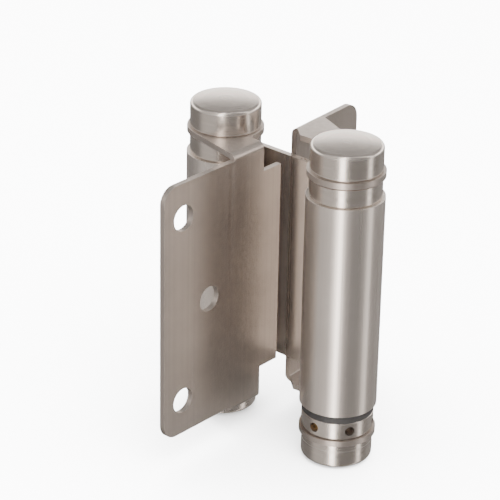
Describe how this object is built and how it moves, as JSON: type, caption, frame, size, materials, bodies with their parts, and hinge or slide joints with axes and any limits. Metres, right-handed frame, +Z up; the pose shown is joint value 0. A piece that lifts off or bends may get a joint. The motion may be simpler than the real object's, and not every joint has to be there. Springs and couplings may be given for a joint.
{
  "type": "double action spring hinge",
  "caption": "Double action spring hinge of folded stainless sheet: two sprung barrels joined by a rolled middle plate, each with a drilled flange, for a swing door.",
  "frame": {"origin": "mid-height, on the plane of the two spindles, at the front face of the jamb leaf", "axes": "+X along the jamb leaf towards the door, +Y through the wall to the rear barrel, +Z up"},
  "size_m": [0.0887, 0.0704, 0.1032],
  "materials": {
    "folded_steel": "vertical brushed grain",
    "turned_steel": "turned and polished",
    "plain_steel": "ground",
    "spring_steel": "oiled",
    "dark_nylon": "matt",
    "brass": "drawn"
  },
  "bodies": {
    "jamb_side": {"jamb_leaf": "folded_steel", "rear_top_cap": "turned_steel", "rear_bottom_cap": "turned_steel", "rear_spindle": "plain_steel", "rear_thrust_washer": "dark_nylon", "rear_stop_pin": "plain_steel", "rear_torsion_spring": "spring_steel", "rear_seal_washer": "dark_nylon", "rear_tension_collar": "turned_steel", "rear_tension_pin": "brass"},
    "middle": {"link_plate": "folded_steel", "rear_spring_plug": "turned_steel", "front_spring_plug": "turned_steel"},
    "door_side": {"door_leaf": "folded_steel", "front_top_cap": "turned_steel", "front_bottom_cap": "turned_steel", "front_spindle": "plain_steel", "front_thrust_washer": "dark_nylon", "front_stop_pin": "plain_steel", "front_torsion_spring": "spring_steel", "front_seal_washer": "dark_nylon", "front_tension_collar": "turned_steel", "front_tension_pin": "brass"}
  },
  "joints": [
    {"name": "link_turn", "type": "hinge", "parent": "jamb_side", "child": "middle", "pos_m": [0, 0.0176, 0], "axis": [0, 0, 1], "range_deg": [0, 105], "stiffness_Nm_per_rad": 0.6, "springref_deg": -45.84, "deforming": ["rear_torsion_spring"]},
    {"name": "door_turn", "type": "hinge", "parent": "middle", "child": "door_side", "pos_m": [0, -0.0294, 0], "axis": [0, 0, -1], "range_deg": [0, 105], "stiffness_Nm_per_rad": 0.6, "springref_deg": -45.84, "deforming": ["front_torsion_spring"]}
  ]
}
